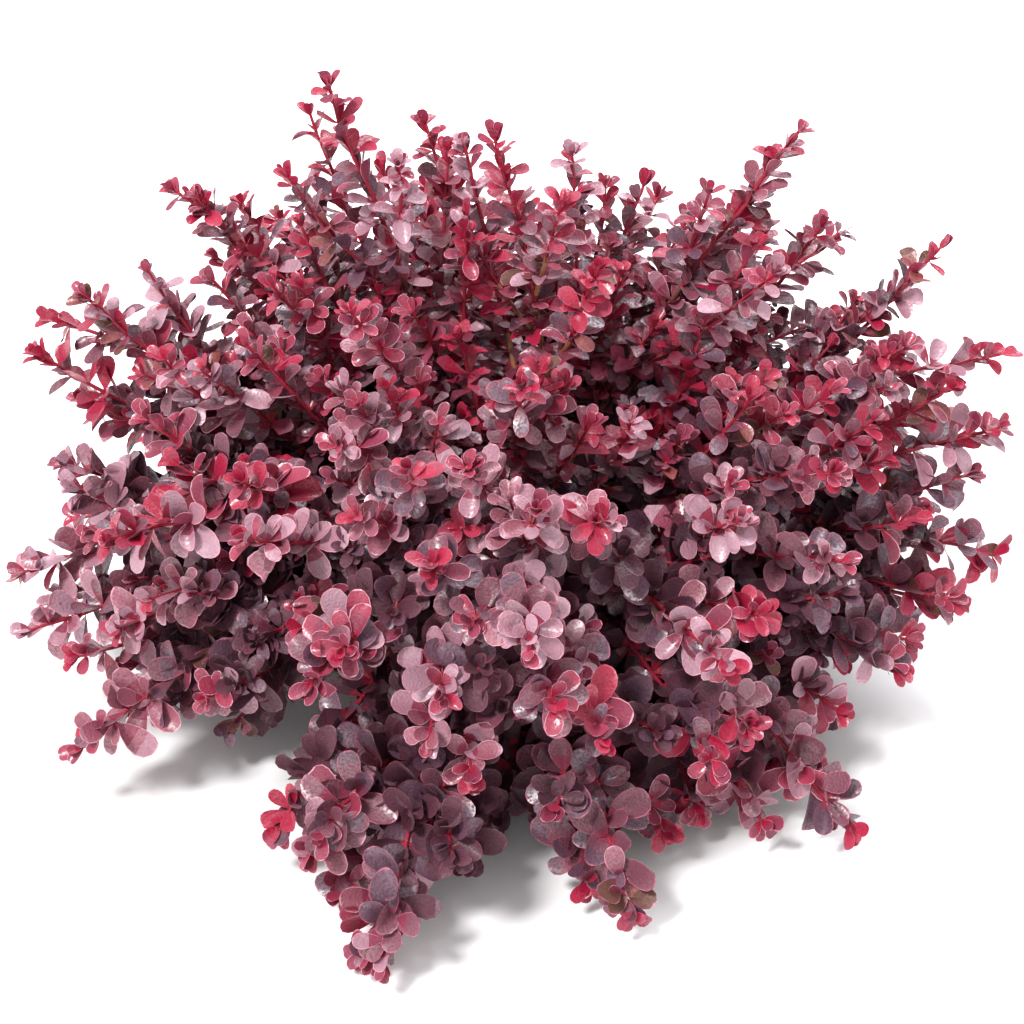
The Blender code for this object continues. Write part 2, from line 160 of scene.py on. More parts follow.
# %% Laterals between the leaders
LATERALS = [
    # low ones, from the left round the front to the right
    (203, 15, 0.312, "rosy"), (205, 15, 0.276, "pale"), (196, 14, 0.333, "pale"),
    (186, 11, 0.315, "pale"), (208, 22, 0.300, "pale"), (216, 9, 0.225, "dusky"),
    (225, 20, 0.280, "rosy"), (240, 8, 0.278, "rosy"), (247, 10, 0.302, "rosy"),
    (251, 4, 0.295, "dusky"), (256, 2, 0.332, "rosy"), (257, 4, 0.280, "dusky"),
    (266, 21, 0.278, "pale"), (260, 25, 0.285, "pale"), (262, 31, 0.292, "pale"),
    (281, 4, 0.275, "dusky"), (276, 31, 0.330, "rosy"), (282, 26, 0.312, "fiery"),
    (261, 8, 0.222, "dusky"), (269, 8, 0.218, "dusky"), (277, 8, 0.218, "dusky"),
    (293, 7, 0.250, "fiery"), (300, 7, 0.245, "fiery"), (307, 5, 0.272, "rosy"),
    (300, 17, 0.270, "rosy"), (325, 13, 0.267, "pale"), (330, 8, 0.245, "dusky"),
    (341, 15, 0.290, "fiery"), (350, 14, 0.306, "dusky"), (348, 16, 0.315, "fiery"),
    (352, 28, 0.310, "dusky"), (356, 27, 0.345, "dusky"), (18, 22, 0.350, "fiery"),
    # on the flanks, seen from the front
    (180, 28, 0.331, "pale"), (176, 34, 0.340, "fiery"), (180, 38, 0.385, "fiery"),
    (182, 47, 0.391, "fiery"), (196, 44, 0.325, "rosy"), (198, 29, 0.315, "pale"),
    (211, 28, 0.295, "pale"), (248, 34, 0.311, "rosy"), (259, 45, 0.316, "dusky"),
    (310, 34, 0.290, "fiery"), (314, 45, 0.290, "pale"), (327, 34, 0.300, "dusky"),
    (287, 49, 0.318, "rosy"), (353, 46, 0.355, "fiery"), (345, 43, 0.330, "rosy"),
    (356, 31, 0.378, "rosy"), (10, 45, 0.408, "fiery"), (334, 56, 0.300, "fiery"),
    (355, 38, 0.366, "fiery"), (12, 46, 0.345, "pale"),
    # high up
    (146, 53, 0.360, "fiery"), (163, 57, 0.383, "rosy"), (159, 65, 0.335, "dusky"),
    (194, 50, 0.345, "pale"), (171, 55, 0.335, "dusky"), (197, 58, 0.318, "rosy"),
    (229, 42, 0.316, "pale"), (232, 66, 0.290, "dusky"), (252, 54, 0.319, "dusky"),
    (263, 56, 0.318, "pale"), (283, 72, 0.290, "fiery"), (351, 65, 0.300, "fiery"),
    (16, 63, 0.385, "dusky"), (21, 52, 0.367, "rosy"), (44, 58, 0.326, "fiery"),
    (51, 72, 0.337, "dusky"), (144, 67, 0.396, "rosy"), (122, 75, 0.377, "fiery"),
    (125, 83, 0.369, "pale"), (135, 71, 0.350, "fiery"),
    # round the back
    (35, 22, 0.340, "rosy"), (55, 20, 0.335, "dusky"), (73, 20, 0.335, "fiery"),
    (90, 20, 0.335, "pale"), (110, 20, 0.335, "rosy"), (128, 23, 0.335, "dusky"),
    (160, 24, 0.345, "rosy"), (60, 33, 0.345, "fiery"), (95, 33, 0.345, "dusky"),
    (135, 38, 0.350, "rosy"), (62, 47, 0.345, "pale"), (105, 47, 0.345, "rosy"),
    (74, 65, 0.297, "fiery"), (117, 61, 0.320, "rosy"), (84, 72, 0.317, "fiery"),
    (24, 12, 0.310, "dusky"), (90, 7, 0.315, "pale"), (127, 9, 0.315, "rosy"),
    (165, 10, 0.325, "dusky"), (50, 8, 0.240, "dusky"), (84, 9, 0.230, "dusky"),
    (118, 8, 0.235, "rosy"), (152, 8, 0.240, "dusky"), (190, 8, 0.245, "dusky"),
]
print(len(LATERALS), "lateral tips")

# %% Fork the laterals
LATERAL_FORK = 0.24
LATERAL_LEAN = 0.80
LATERAL_PULL = 0.36
UPTURN = 0.28
UPTURN_ABOVE = 0.12
UPTURN_OVER = 0.10


def lateral_from_nearest(azimuth, rise, reach, mood):
    """A lateral to the given tip, from the leader whose tip is nearest."""
    tip = direction(azimuth, rise) * (reach - TIP_ROSETTE)
    parent = min(leaders, key=lambda leader: (leader["arc"][2] - tip).length)
    start = bend(*parent["arc"], LATERAL_FORK)
    lean = heading_at(parent["arc"], LATERAL_FORK).lerp((tip - start).normalized(), LATERAL_LEAN)
    lean -= UP * UPTURN * min(1, max(0, (tip.z - UPTURN_ABOVE) / UPTURN_OVER))
    arc = (start, start + lean * reach * LATERAL_PULL, tip)
    return {"ring": parent["ring"], "arc": arc, "mood": mood}


laterals = [lateral_from_nearest(*facts) for facts in LATERALS]
print("the longest lateral is", max(reach for _, _, reach, _ in LATERALS), "m")

# %% [markdown]
# ## Hollows
# The crown isn't an even ball. Between the plumes it opens into hollows, where one looks past the
# outer leaves to ones dulled by painted shade and to the dark inside. They are given as directions
# from the foot, with a width. Fewer side shoots grow into them, and the leaves there are painted
# darker, as shade.

# %% Hollows in the crown
HOLLOWS = [
    (261, 39, 13), (291, 49, 9), (310, 43, 13), (295, 24, 9), (268, 11, 9), (252, 27, 9),
    (220, 40, 7), (238, 54, 7), (331, 34, 8), (243, 25, 10), (274, 21, 6), (287, 62, 8),
    (254, 61, 7), (228, 20, 9), (20, 33, 10), (55, 12, 9), (78, 48, 11), (100, 25, 10),
    (118, 48, 9), (145, 25, 10), (172, 20, 7)]
HOLLOW_EDGE = 1.4

hollow_ways = np.array([direction(azimuth, rise)[:] for azimuth, rise, _ in HOLLOWS])
hollow_widths = np.radians([width for *_, width in HOLLOWS])


def hollow_at(place):
    """From 0 outside every hollow to 1 in the middle of one."""
    turn = np.arccos(np.clip(hollow_ways @ np.array(place.normalized()[:]), -1, 1))
    return float(np.clip(HOLLOW_EDGE - turn / hollow_widths, 0, 1).max())


print(len(HOLLOWS), "hollows")

# %% [markdown]
# ## Side shoots and twigs
# Side shoots fork from each leader and lateral. Each stands the golden angle further round than
# the last, so that no two lie over each other, and turns back outwards as it grows. The first four
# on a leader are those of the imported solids, from the same seed. More stand between them, and a
# short twig forks from each side shoot of a low family.

# %% Side shoots
FOLIAGE_FROM = 0.30
GOLDEN_ANGLE = 137.5
SIDE_FIRST = 0.04
SIDE_STEP = 0.15
SIDE_LENGTH = 0.68
SIDE_LENGTH_CHANCE = 0.10
SIDE_SPREAD = 46
SIDE_SPREAD_STEP = 5
SIDE_SPREADS = 4
SIDE_SPREAD_CHANCE = 6
SIDE_KEEPS = 0.55
SIDE_TURNS_OUT = 0.45
SIDE_ROLL_CHANCE = 15
SOURCE_SIDES = 4
EXTRA_FIRST = 1.5
EXTRA_LENGTH = 0.62


def side_shoot(parent, share, number, length, roll, chance):
    """One shoot that leaves its parent at an angle, then turns back outwards."""
    origin = bend(*parent, share)
    heading = heading_at(parent, share)
    spread = SIDE_SPREAD - SIDE_SPREAD_STEP * (number % SIDE_SPREADS)
    spread = math.radians(spread + chance.uniform(-1, 1) * SIDE_SPREAD_CHANCE)
    lean = heading * math.cos(spread) + outward(heading, roll) * math.sin(spread)
    reach = length * (1 - share) * (SIDE_LENGTH + chance.uniform(-1, 1) * SIDE_LENGTH_CHANCE)
    final = (lean * SIDE_KEEPS + origin.normalized() * SIDE_TURNS_OUT).normalized()
    return (origin, origin + lean * reach / 2, origin + (lean + final) * reach / 2)


def leafy_part(arc):
    """The part of a leader's arc beyond its bough, as an arc of its own."""
    fork = bend(*arc, FOLIAGE_FROM)
    middle = bend(*arc, (1 + FOLIAGE_FROM) / 2)
    return (fork, middle * 2 - (fork + arc[2]) / 2, arc[2])


def side_shoots_of(main, count, chance):
    """The source's side shoots along an arc, and shorter ones between them."""
    length = (main[2] - main[0]).length
    roll = chance.uniform(0, 360)
    shoots = []
    for number in range(count):
        share = SIDE_FIRST + SIDE_STEP * number
        reach = length
        if number >= SOURCE_SIDES:
            share = SIDE_FIRST + SIDE_STEP * (number - SOURCE_SIDES + EXTRA_FIRST)
            reach = length * EXTRA_LENGTH
        shoots.append(side_shoot(main, share, number, reach, roll, chance))
        roll += GOLDEN_ANGLE + chance.uniform(-SIDE_ROLL_CHANCE, SIDE_ROLL_CHANCE)
    return shoots


print("side shoots fork every", GOLDEN_ANGLE, "degrees")

# %% Twigs
TWIG_SHARE = 0.42
TWIG_LENGTH = 0.030
TWIG_LENGTHS = (0.6, 1.25)
TWIG_SPREADS = (34, 52)
TWIG_TURN = 0.2


def twig_of(side, chance):
    """One short twig that forks from a side shoot."""
    origin = bend(*side, TWIG_SHARE)
    heading = heading_at(side, TWIG_SHARE)
    spread = math.radians(chance.uniform(*TWIG_SPREADS))
    square = outward(heading, chance.uniform(0, 360))
    lean = heading * math.cos(spread) + square * math.sin(spread)
    reach = TWIG_LENGTH * chance.uniform(*TWIG_LENGTHS)
    return (origin, origin + lean * reach / 2, origin + (lean + heading * TWIG_TURN) * reach)


print("twigs are about", TWIG_LENGTH * 1000, "mm long")

# %% [markdown]
# ## Growing them all
# Each leading shoot and each lateral is a family with random draws of its own, so that a change to
# one leaves the others as they are. Most side shoots share their family's mood. High families get
# fewer sides and no twigs. A side that would fill a hollow is dropped, unless the solids have it.

# %% Grow the shoots
SEED = 41
OPEN_ABOVE = 0.26
EXTRA_SIDES = 2
LATERAL_SIDES = 2
MOOD_NAMES = ("fiery", "rosy", "pale", "dusky")
ODD_SHOOT = 0.25
TOO_HOLLOW = 0.5


def side_count(order, main):
    """How many side shoots a family has: fewer when it is high, so that sky shows between."""
    high = main["arc"][2].z > OPEN_ABOVE
    if order < len(leaders):
        return SOURCE_SIDES + (0 if high else EXTRA_SIDES)
    return LATERAL_SIDES - (1 if high else 0)


def own_mood(mood, chance):
    """Most side shoots share their family's mood, and some have one of their own."""
    return chance.choice(MOOD_NAMES) if chance.random() < ODD_SHOOT else mood


shoots = []
for order, main in enumerate(leaders + laterals):
    chance = random.Random(SEED + order)
    arc = leafy_part(main["arc"]) if order < len(leaders) else main["arc"]
    family = {"ring": main["ring"], "family": order}
    shoots.append({**family, "rank": 0, "arc": arc, "mood": main["mood"]})
    for number, side in enumerate(side_shoots_of(arc, side_count(order, main), chance)):
        twigs = [twig_of(side, chance)] if main["arc"][2].z < OPEN_ABOVE else []
        mood = own_mood(main["mood"], chance)
        from_source = order < len(leaders) and number < SOURCE_SIDES
        if hollow_at(side[2]) > TOO_HOLLOW:
            if not from_source:
                continue
            twigs = []
        shoots.append({**family, "rank": 1, "arc": side, "mood": mood})
        shoots += [{**family, "rank": 2, "arc": twig, "mood": mood} for twig in twigs]
print(len(shoots), "shoots in all")

# %% [markdown]
# ## The line of a shoot
# No living shoot is a perfect arc. A slow noise moves its points sideways by a millimetre or two,
# more towards the tip. Blender's vector noise starts at a place of its own in every session, so it
# is given a seed, and each run grows the same shrub. Shoots that would dip into the ground are
# lifted to just above it.

# %% Points along a shoot
POINT_SPACING = 0.012
WOBBLE = 0.0035
WOBBLE_SCALE = 26
FEWEST_STEPS = 4
LOWEST = 0.004
NOISE_SEED = 41
noise.seed_set(NOISE_SEED)


def line_of(shoot):
    """The points of a shoot's arc, each moved a little by the noise."""
    arc = shoot["arc"]
    length = (arc[1] - arc[0]).length + (arc[2] - arc[1]).length
    count = max(FEWEST_STEPS, round(length / POINT_SPACING))
    points = []
    for i in range(count + 1):
        share = i / count
        point = bend(*arc, share)
        there = point * WOBBLE_SCALE + Vector((shoot["family"], 0, 0))
        point = point + noise.noise_vector(there) * WOBBLE * share
        point.z = max(point.z, LOWEST)
        points.append(point)
    return points


for shoot in shoots:
    shoot["line"] = line_of(shoot)
    shoot["length"] = sum((b - a).length for a, b in zip(shoot["line"], shoot["line"][1:]))
print(round(sum(shoot["length"] for shoot in shoots), 1), "m of shoots")

# %% [markdown]
# ## Outside and inside
# The crown is a thin shell of leaves round a dark, twiggy inside. How deep a place lies is how far
# it falls short of the tips that point its way. Depth later paints shade into the leaves' colours,
# and simplifies the leaves.
# Low shoots are lush, with broad close leaves. High ones are slender, and show their red stems.

# %% Depth and lushness
CROWN_BLUR = 0.22
LUSH_BELOW = 0.12
SLENDER_ABOVE = 0.32

tip_ways = np.array([main["arc"][2].normalized()[:] for main in leaders + laterals])
tip_reaches = np.array([main["arc"][2].length for main in leaders + laterals])


def depth_of(place):
    """How far a place lies inside the shell of tips, in metres."""
    turn = 1 - tip_ways @ np.array(place.normalized()[:])
    weight = np.exp(-turn / (CROWN_BLUR ** 2))
    return float((weight * tip_reaches).sum() / weight.sum()) - place.length


def lushness_of(main):
    return min(1, max(0, (SLENDER_ABOVE - main["arc"][2].z) / (SLENDER_ABOVE - LUSH_BELOW)))


family_lushness = [lushness_of(main) for main in leaders + laterals]
print("mean lushness", round(sum(family_lushness) / len(family_lushness), 2))

# %% [markdown]
# ## Colours
# The colours are given as they look on a screen, from 0 to 255, and turned into the linear values
# that the shader works in. Young leaves are crimson, then rose. Grown ones are mauve under a pale
# waxy bloom, and the oldest are plum. A leaf is never one colour all over: each tone names the
# tones of its base, its margin and its outer end.

# %% Leaf tones
def paint(red, green, blue):
    """A screen colour as linear light, with full opacity."""
    def linear(value):
        share = value / 255
        return share / 12.92 if share <= 0.04045 else ((share + 0.055) / 1.055) ** 2.4
    return (linear(red), linear(green), linear(blue), 1)


TONES = {
    "crimson": (154, 14, 53),
    "coral": (146, 45, 70),
    "rose": (126, 42, 66),
    "pink_mauve": (138, 70, 86),
    "pale_mauve": (154, 105, 120),
    "bloom": (168, 126, 141),
    "dusky": (110, 56, 72),
    "grey_mauve": (90, 54, 72),
    # Plum and dark plum are old leaves' own colours and also painted shade. The darkest tone is only
    # painted shade, drawn for leaves far inside.
    "plum": (84, 44, 57),
    "dark_plum": (72, 37, 49),
    "deepest": (60, 30, 38),
    "olive": (92, 56, 46),
    "russet": (122, 50, 46),
}
MARGINS = {
    # The pale margin is the leaves' own pale rim, made brighter as well to paint the glints that
    # light gives it on lit leaves.
    "pale_glint_margin": (204, 142, 157),
    "soft_margin": (164, 88, 108),
    "red_margin": (180, 64, 90),
    "dim_margin": (106, 52, 67),
}
STALK = (142, 26, 50)
LEAF_PARTS = {
    "crimson": ("crimson", "red_margin", "coral"),
    "coral": ("crimson", "pale_glint_margin", "rose"),
    "rose": ("crimson", "pale_glint_margin", "coral"),
    "pink_mauve": ("rose", "pale_glint_margin", "pale_mauve"),
    "pale_mauve": ("rose", "pale_glint_margin", "bloom"),
    "bloom": ("coral", "pale_glint_margin", "pale_mauve"),
    "dusky": ("rose", "soft_margin", "grey_mauve"),
    "grey_mauve": ("dusky", "soft_margin", "dusky"),
    "plum": ("dark_plum", "dim_margin", "grey_mauve"),
    "dark_plum": ("plum", "dim_margin", "plum"),
    "deepest": ("deepest", "dark_plum", "dark_plum"),
    "olive": ("dusky", "soft_margin", "dusky"),
    "russet": ("rose", "soft_margin", "olive"),
}
print(len(TONES), "leaf tones")

# %% [markdown]
# ## The waxy bloom
# A leaf's wax is uneven: in patches it lies as a film that catches the sky and looks frosted, and
# where rain has worn it off the leaf is matt. The blade is also finely puckered. One shader node
# group makes the patches and the puckers from two noises, and is placed in every leaf material.
# The film is the shader's coat: its IOR says how strongly it mirrors, its roughness how blurred.
# The colour itself stays plain, so that it exports unharmed.

# %% Node group for the wax and the puckering
PATCH_SCALE, PUCKER_SCALE = 640, 640
WAX_DETAIL = 4
MOST_GLOSS = 0.7
NOISE_LOW, NOISE_HIGH = 0.35, 0.65
WORN_ROUGHNESS, WAXED_ROUGHNESS = 0.62, 0.40


def group_socket(group, name, way, value=None):
    socket = group.interface.new_socket(name=name, in_out=way, socket_type="NodeSocketFloat")
    if value is not None:
        socket.default_value = value


def stretched(group, source, low, high):
    """A map range node that spreads a noise from low to high. Most noise is near its middle."""
    spread = group.nodes.new("ShaderNodeMapRange")
    spread.inputs["From Min"].default_value = NOISE_LOW
    spread.inputs["From Max"].default_value = NOISE_HIGH
    spread.inputs["To Min"].default_value = low
    spread.inputs["To Max"].default_value = high
    group.links.new(source, spread.inputs["Value"])
    return spread


def make_wax():
    group = bpy.data.node_groups.new("leaf_wax", "ShaderNodeTree")
    group_socket(group, "Patch Scale", "INPUT", PATCH_SCALE)
    group_socket(group, "Pucker Scale", "INPUT", PUCKER_SCALE)
    group_socket(group, "Most Gloss", "INPUT", MOST_GLOSS)
    for name in ("Roughness", "Gloss", "Pucker"):
        group_socket(group, name, "OUTPUT")
    given = group.nodes.new("NodeGroupInput")
    made = group.nodes.new("NodeGroupOutput")
    place = group.nodes.new("ShaderNodeTexCoord")
    noises = {}
    for name in ("Patch Scale", "Pucker Scale"):
        noises[name] = group.nodes.new("ShaderNodeTexNoise")
        noises[name].inputs["Detail"].default_value = WAX_DETAIL
        group.links.new(place.outputs["Object"], noises[name].inputs["Vector"])
        group.links.new(given.outputs[name], noises[name].inputs["Scale"])
    patches = noises["Patch Scale"].outputs["Fac"]
    roughness = stretched(group, patches, WORN_ROUGHNESS, WAXED_ROUGHNESS)
    group.links.new(roughness.outputs["Result"], made.inputs["Roughness"])
    gloss = stretched(group, patches, 0.0, MOST_GLOSS)
    group.links.new(given.outputs["Most Gloss"], gloss.inputs["To Max"])
    group.links.new(gloss.outputs["Result"], made.inputs["Gloss"])
    group.links.new(noises["Pucker Scale"].outputs["Fac"], made.inputs["Pucker"])
    return group


leaf_wax = make_wax()
print("wax group has", len(leaf_wax.nodes), "nodes")

# %% [markdown]
# ## Leaf materials
# Young leaves are smooth, grown ones waxy, and old ones matt. Numbers that are the same all over a
# leaf, such as its sheen and how blurred the film is, sit on the shader's own sockets. Only what
# changes over the surface comes from the group.

# %% A material for each tone
FINISHES = {
    "waxy": {"sheen": 0.14, "pucker": 0.9, "gloss": 0.95, "specular": 0.5,
             "film": 1.75, "film_blur": 0.34},
    "smooth": {"sheen": 0.10, "pucker": 0.8, "gloss": 0.7, "specular": 0.4,
               "film": 1.55, "film_blur": 0.20},
    "matt": {"sheen": 0.10, "pucker": 0.7, "gloss": 0.4, "specular": 0.25,
             "film": 1.5, "film_blur": 0.40},
}
SMOOTH_TONES = ("crimson", "coral", "rose")
MATT_TONES = ("plum", "dark_plum", "deepest", "olive")
SHEEN_BLUR = 0.35
SHEEN_TINT = (1.0, 0.80, 0.92, 1)
PUCKER_DEPTH = 0.0010


def leaf_material(name, colour, sheen, pucker, gloss, specular, film, film_blur):
    made = bpy.data.materials.new(name)
    made.use_nodes = True
    nodes, links = made.node_tree.nodes, made.node_tree.links
    shader = nodes["Principled BSDF"]
    shader.inputs["Base Color"].default_value = paint(*colour)
    shader.inputs["Sheen Weight"].default_value = sheen
    shader.inputs["Sheen Roughness"].default_value = SHEEN_BLUR
    shader.inputs["Sheen Tint"].default_value = SHEEN_TINT
    shader.inputs["Coat Roughness"].default_value = film_blur
    shader.inputs["Coat IOR"].default_value = film
    shader.inputs["Specular IOR Level"].default_value = specular
    wax = nodes.new("ShaderNodeGroup")
    wax.node_tree = leaf_wax
    wax.inputs["Most Gloss"].default_value = gloss
    bump = nodes.new("ShaderNodeBump")
    bump.inputs["Strength"].default_value = pucker
    bump.inputs["Distance"].default_value = PUCKER_DEPTH
    links.new(wax.outputs["Roughness"], shader.inputs["Roughness"])
    links.new(wax.outputs["Gloss"], shader.inputs["Coat Weight"])
    links.new(wax.outputs["Pucker"], bump.inputs["Height"])
    links.new(bump.outputs["Normal"], shader.inputs["Normal"])
    return made


def finish_of(tone):
    if tone in SMOOTH_TONES:
        return FINISHES["smooth"]
    return FINISHES["matt" if tone in MATT_TONES else "waxy"]


leaf_materials = {}
for tone, colour in TONES.items():
    leaf_materials[tone] = leaf_material("leaf_" + tone, colour, **finish_of(tone))
for margin, colour in MARGINS.items():
    leaf_materials[margin] = leaf_material("leaf_" + margin, colour, **FINISHES["smooth"])
leaf_materials["stalk"] = leaf_material("leaf_stalk", STALK, **FINISHES["smooth"])
MATERIAL_ORDER = list(leaf_materials)
print(len(MATERIAL_ORDER), "leaf materials")

# %% [markdown]
# ## One leaf
# A barberry leaf is a spoon: a narrow stalk that widens to a round end, with a thin pale margin
# and a groove along its middle. A small grid has the right faces for that. Its columns are moved
# to the outline, and its outer rows become the margin. A leaf deep inside needs only two rows.
# Fold, cup and droop come later, for each leaf on its own.

# %% The flat leaf
LEAF_COLUMNS = (0, 0.10, 0.27, 0.49, 0.70, 0.87, 0.97, 1.0)
LEAF_WIDTHS = (0.14, 0.19, 0.58, 0.89, 1.00, 0.87, 0.52, 0.25)
LEAF_ROWS = (-1, -0.93, 0, 0.93, 1)
INNER_COLUMNS = (0, 0.30, 0.72, 1.0)
INNER_WIDTHS = (0.12, 0.50, 1.0, 0.30)
INNER_ROWS = (-1, 0, 1)
STALK_ROLE, BASE_ROLE, MARGIN_ROLE, BLADE_ROLE = range(4)


def role_of(column, row, columns, rows):
    """Which part of the leaf a face of its grid belongs to. Plain inner leaves have no margin."""
    if column == 0:
        return STALK_ROLE
    if rows == len(INNER_ROWS) - 1:
        return BLADE_ROLE
    if column == columns - 1 or row in (0, rows - 1):
        return MARGIN_ROLE
    return BASE_ROLE if column == 1 else BLADE_ROLE


def flat_leaf(along, widths, across):
    """The unit leaf's points, its four-cornered faces, and what each face is."""
    shape = bmesh.new()
    columns, rows = len(along) - 1, len(across) - 1
    bmesh.ops.create_grid(shape, x_segments=columns, y_segments=rows, size=1)
    shape.verts.index_update()
    roles, face_columns = [], []
    for face in shape.faces:
        middle = face.calc_center_median()
        column = int((middle.x + 1) / 2 * columns)
        row = int((middle.y + 1) / 2 * rows)
        roles.append(role_of(column, row, columns, rows))
        face_columns.append(column)
    faces = [[point.index for point in face.verts] for face in shape.faces]
    for point in shape.verts:
        column = round((point.co.x + 1) / 2 * columns)
        row = round((point.co.y + 1) / 2 * rows)
        point.co = (along[column], across[row] * widths[column] / 2, 0)
    points = np.array([point.co[:] for point in shape.verts], np.float32)
    shape.free()
    return {"points": points, "faces": np.array(faces, np.int32),
            "roles": np.array(roles, np.int32), "columns": np.array(face_columns, np.int32)}


outer_leaf = flat_leaf(LEAF_COLUMNS, LEAF_WIDTHS, LEAF_ROWS)
inner_leaf = flat_leaf(INNER_COLUMNS, INNER_WIDTHS, INNER_ROWS)
print("leaf faces:", len(outer_leaf["faces"]), "outside,", len(inner_leaf["faces"]), "inside")

# %% [markdown]
# ## Rosettes
# Leaves grow in rosettes from short spurs, a centimetre or so apart, that step round the shoot by
# the golden angle. Each rosette leans outwards and forwards, and its leaves fan out round it with
# their upper sides turned to the light. The last rosette sits on the very tip and is the smallest.

# %% Where the leaves sit
SLENDER = {"spacing": 0.0110, "closer": 0.0026, "tip": 0.0118, "grown": 0.0186,
           "grown_after": 0.036, "counts": (4, 4, 5, 5)}
LUSH = {"spacing": 0.0122, "closer": 0.0040, "tip": 0.0150, "grown": 0.0270,
        "grown_after": 0.030, "counts": (4, 5, 5, 6)}


def point_along(shoot, distance):
    """The point and the heading at a distance along a shoot's line."""
    line = shoot["line"]
    for a, b in zip(line, line[1:]):
        length = (b - a).length
        if distance <= length or b is line[-1]:
            return a + (b - a) * (distance / max(length, 1e-6)), (b - a).normalized()
        distance -= length


def habit_of(lushness):
    """Spacing and sizes between those of a slender and a lush shoot."""
    habit = {}
    for key in ("spacing", "closer", "tip", "grown", "grown_after"):
        habit[key] = SLENDER[key] + (LUSH[key] - SLENDER[key]) * lushness
    habit["counts"] = (LUSH if lushness > 0.5 else SLENDER)["counts"]
    return habit


def grown_share(from_tip, grown_after):
    """From 0 at the tip to 1 where the leaves are fully grown, with a soft start and end."""
    share = min(1, from_tip / grown_after)
    return share * share * (3 - 2 * share)


print("a lush shoot's grown leaves are", LUSH["grown"] * 1000, "mm long")

# %% One rosette
SUNWARD = Vector((-0.15, -0.45, 0.88)).normalized()
AXIS_FACING, SUN_FACING, OUT_FACING = 0.50, 0.65, 0.15
EDGE_ON = 0.15
SPREAD_CHANCE = 12
TURN_CHANCE = 18
LEAF_LENGTHS = (0.88, 1.08)
SPUR = 0.0008
OUTERMOST, CLOSING, SHRINKING = 1.12, 0.5, 0.45


def rosette(root, axis, count, size, opening, chance):
    """Root, along, normal and length for each leaf of one rosette, the outermost first."""
    leaves = []
    turn = chance.uniform(0, 360)
    for k in range(count):
        inner = k / count
        spread = opening * (OUTERMOST - CLOSING * inner)
        spread = math.radians(spread + chance.uniform(-SPREAD_CHANCE, SPREAD_CHANCE))
        side = turn + GOLDEN_ANGLE * k + chance.uniform(-TURN_CHANCE, TURN_CHANCE)
        ring = outward(axis, side)
        along = axis * math.cos(spread) + ring * math.sin(spread)
        facing = axis * AXIS_FACING + SUNWARD * SUN_FACING + root.normalized() * OUT_FACING
        normal = facing - along * facing.dot(along)
        if normal.length < EDGE_ON:
            normal = ring - along * ring.dot(along)
        length = size * (OUTERMOST - SHRINKING * inner) * chance.uniform(*LEAF_LENGTHS)
        leaves.append((root + along * SPUR, along, normal.normalized(), length))
    return leaves


print("each leaf stands on a spur of", SPUR * 1000, "mm")

# %% [markdown]
# ## Dealing out the colours
# Colour has a place on this shrub. It goes by how far a rosette is from the tip of its shoot, and
# by the shoot's mood: some are crimson all the way down, some are pale with bloom. High shoots
# stay young for longer, and take less painted shade, so the top of the crown is painted lighter.
# Deep in a hollow, close to the ground or far inside, shade is painted into the leaves as dull
# and then plum tones. One tone is drawn for a whole rosette, and now and then a leaf takes
# another from the same set. The numbers beside the tones are their shares.

# %% Tones by mood and by distance from the tip
MOODS = {
    "fiery": [
        (0.012, {"crimson": 6, "coral": 2, "rose": 1, "russet": 0.4}),
        (0.050, {"crimson": 5, "coral": 1, "rose": 2, "dusky": 3, "pale_mauve": 1,
                 "grey_mauve": 1, "russet": 0.6}),
        (0.090, {"crimson": 1, "rose": 2, "dusky": 4, "grey_mauve": 2}),
        (9.000, {"rose": 0.5, "dusky": 4, "plum": 3}),
    ],
    "rosy": [
        (0.012, {"crimson": 3, "coral": 3, "rose": 2, "pale_mauve": 1}),
        (0.034, {"crimson": 2, "rose": 2, "pink_mauve": 3, "pale_mauve": 2, "dusky": 3,
                 "russet": 0.5}),
        (0.080, {"rose": 1, "pink_mauve": 2, "pale_mauve": 1, "dusky": 5, "bloom": 1}),
        (9.000, {"dusky": 4, "plum": 3, "grey_mauve": 2}),
    ],
    "pale": [
        (0.010, {"crimson": 1, "coral": 2, "rose": 2, "pale_mauve": 2}),
        (0.040, {"bloom": 4, "pale_mauve": 3, "pink_mauve": 3, "coral": 1, "dusky": 1}),
        (0.090, {"bloom": 2, "pale_mauve": 2, "dusky": 4, "pink_mauve": 2}),
        (9.000, {"dusky": 5, "grey_mauve": 2, "plum": 2}),
    ],
    "dusky": [
        (0.010, {"crimson": 3, "rose": 2, "dusky": 1}),
        (0.035, {"dusky": 5, "pink_mauve": 2, "pale_mauve": 1, "rose": 1, "grey_mauve": 2,
                 "russet": 0.4}),
        (0.080, {"dusky": 5, "grey_mauve": 3, "plum": 2, "olive": 0.4}),
        (9.000, {"plum": 5, "grey_mauve": 2, "dark_plum": 2}),
    ],
}
print({mood: sum(shoot["mood"] == mood for shoot in shoots) for mood in MOODS}, "shoots by mood")

# %% Tones in the shade, and the draw
# Painted shade: rosettes whose shade is past these limits take darker tones, dull then plum.
SHADED = 0.052
INSIDE = 0.105
SHADED_TONES = {"dusky": 2, "grey_mauve": 2, "plum": 6, "dark_plum": 3, "olive": 0.4}
DEEP_SHADE_TONES = {"plum": 6, "dark_plum": 4, "deepest": 0.5, "olive": 0.2}


def tones_for(mood, age, shade):
    """The tones a rosette's colours are drawn from, darker ones where shade is painted in."""
    if shade > INSIDE:
        return DEEP_SHADE_TONES
    if shade > SHADED:
        return SHADED_TONES
    for limit, tones in MOODS[mood]:
        if age <= limit:
            return tones


def drawn(tones, chance):
    """One tone, drawn by the shares of each."""
    return chance.choices(list(tones), list(tones.values()))[0]


print("shaded leaves draw from", len(SHADED_TONES), "tones, inside ones from", len(DEEP_SHADE_TONES))
